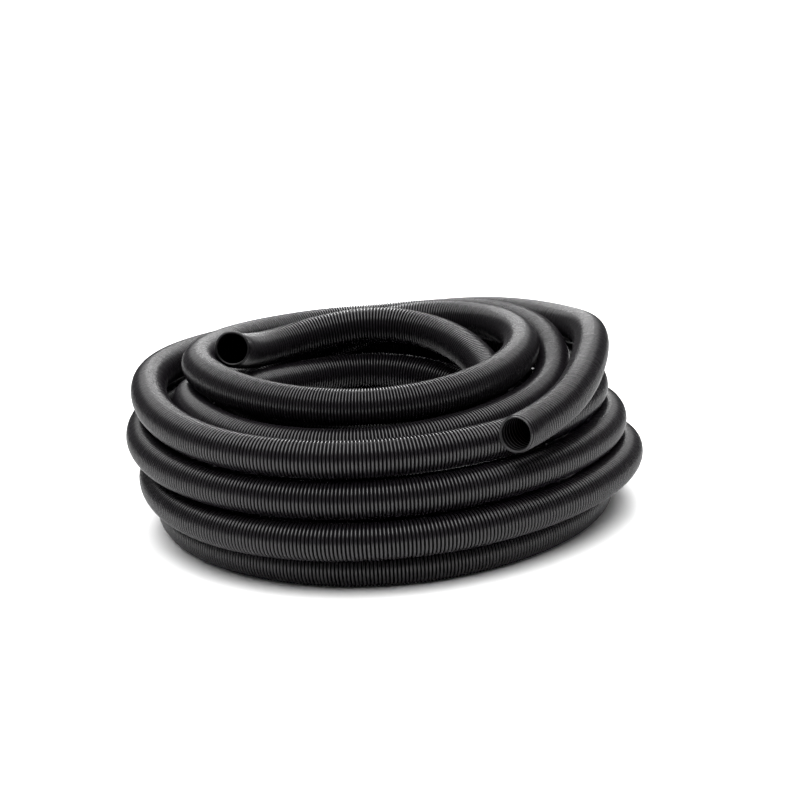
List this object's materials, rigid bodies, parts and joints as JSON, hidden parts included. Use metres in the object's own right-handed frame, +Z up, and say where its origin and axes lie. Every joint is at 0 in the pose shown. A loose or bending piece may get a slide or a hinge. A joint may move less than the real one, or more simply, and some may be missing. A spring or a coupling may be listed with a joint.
{
  "type": "vacuum hose",
  "caption": "Ribbed flexible vacuum hose lying in a round multi-turn coil, open at both bare ends, for pool and spa cleaning.",
  "frame": {"origin": "centre of the coil's footprint, on the floor it lies on", "axes": "+Z up along the coil's axis, -Y towards the two open ends, +X to the right seen from that side"},
  "size_m": [0.6232, 0.608, 0.2353],
  "materials": {
    "hose_wall": "satin black moulded ribs"
  },
  "bodies": {
    "root": {"outer_end": "hose_wall", "turn_01": "hose_wall", "turn_02": "hose_wall", "turn_03": "hose_wall", "turn_04": "hose_wall", "turn_05": "hose_wall", "turn_06": "hose_wall", "turn_07": "hose_wall", "turn_08": "hose_wall", "turn_09": "hose_wall", "turn_10": "hose_wall", "turn_11": "hose_wall", "inner_end": "hose_wall"}
  },
  "joints": []
}
